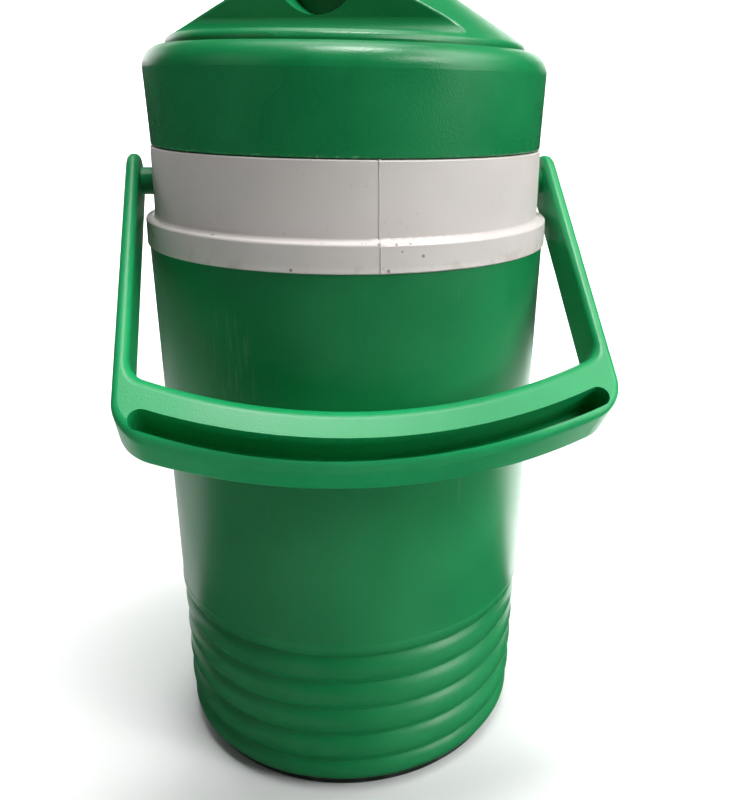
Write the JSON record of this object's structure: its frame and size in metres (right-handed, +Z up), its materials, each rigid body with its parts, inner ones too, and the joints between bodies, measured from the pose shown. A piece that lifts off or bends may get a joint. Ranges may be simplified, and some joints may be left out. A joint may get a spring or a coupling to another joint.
{
  "type": "insulated drinks jug",
  "caption": "Insulated half-gallon drinks jug with ribbed green shell, white collar, swinging bail handle and screw lid with flip spout cap.",
  "frame": {"origin": "centre of the foot, on the surface that the jug stands on", "axes": "+Z up along the jug's axis; X along the handle's pivot line; the handle rests forward, towards -Y"},
  "size_m": [0.1484, 0.1602, 0.2732],
  "materials": {
    "green_shell": "satin moulded polyethylene, green",
    "green_handle": "satin moulded polypropylene, green",
    "green_lid": "satin moulded polyethylene, green",
    "white_collar": "satin moulded polyethylene, warm white, slightly soiled",
    "white_liner": "smooth food-grade polyethylene, white",
    "insulating_foam": "cast rigid foam, cream",
    "grey_seal": "soft moulded seal, grey",
    "dark_rubber": "matte moulded rubber, nearly black",
    "pin_steel": "plain steel pin"
  },
  "bodies": {
    "jug": {"outer_shell": "green_shell", "foot_ring": "dark_rubber", "foam_fill_plug": "white_collar", "body_foam": "insulating_foam", "inner_liner": "white_liner", "collar_band": "white_collar"},
    "handle": {"bail_handle": "green_handle"},
    "lid_seal": {"lid_gasket": "grey_seal"},
    "lid": {"lid_shell": "green_lid", "lid_foam": "insulating_foam", "lid_liner": "white_liner", "spout_tube": "white_liner", "spout_cap_pin": "pin_steel"},
    "cap": {"spout_cap": "green_lid"}
  },
  "joints": [
    {"name": "handle_swing", "type": "hinge", "parent": "jug", "child": "handle", "pos_m": [0, 0, 0.206], "axis": [-1, 0, 0], "range_deg": [0, 261]},
    {"name": "lid_rise", "type": "slide", "parent": "jug", "child": "lid_seal", "axis": [0, 0, 1], "range_m": [0, 0.027]},
    {"name": "lid_turn", "type": "hinge", "parent": "lid_seal", "child": "lid", "pos_m": [0, 0, 0.2429], "axis": [0, 0, 1], "range_deg": [0, 541]},
    {"name": "cap_flip", "type": "hinge", "parent": "lid", "child": "cap", "pos_m": [0.00613, 0.01203, 0.2704], "axis": [-0.891, 0.454, 0], "range_deg": [0, 110]}
  ],
  "couplings": [
    {"joint": "lid_turn", "follows": "lid_rise", "rad_per_m": 349.07}
  ]
}
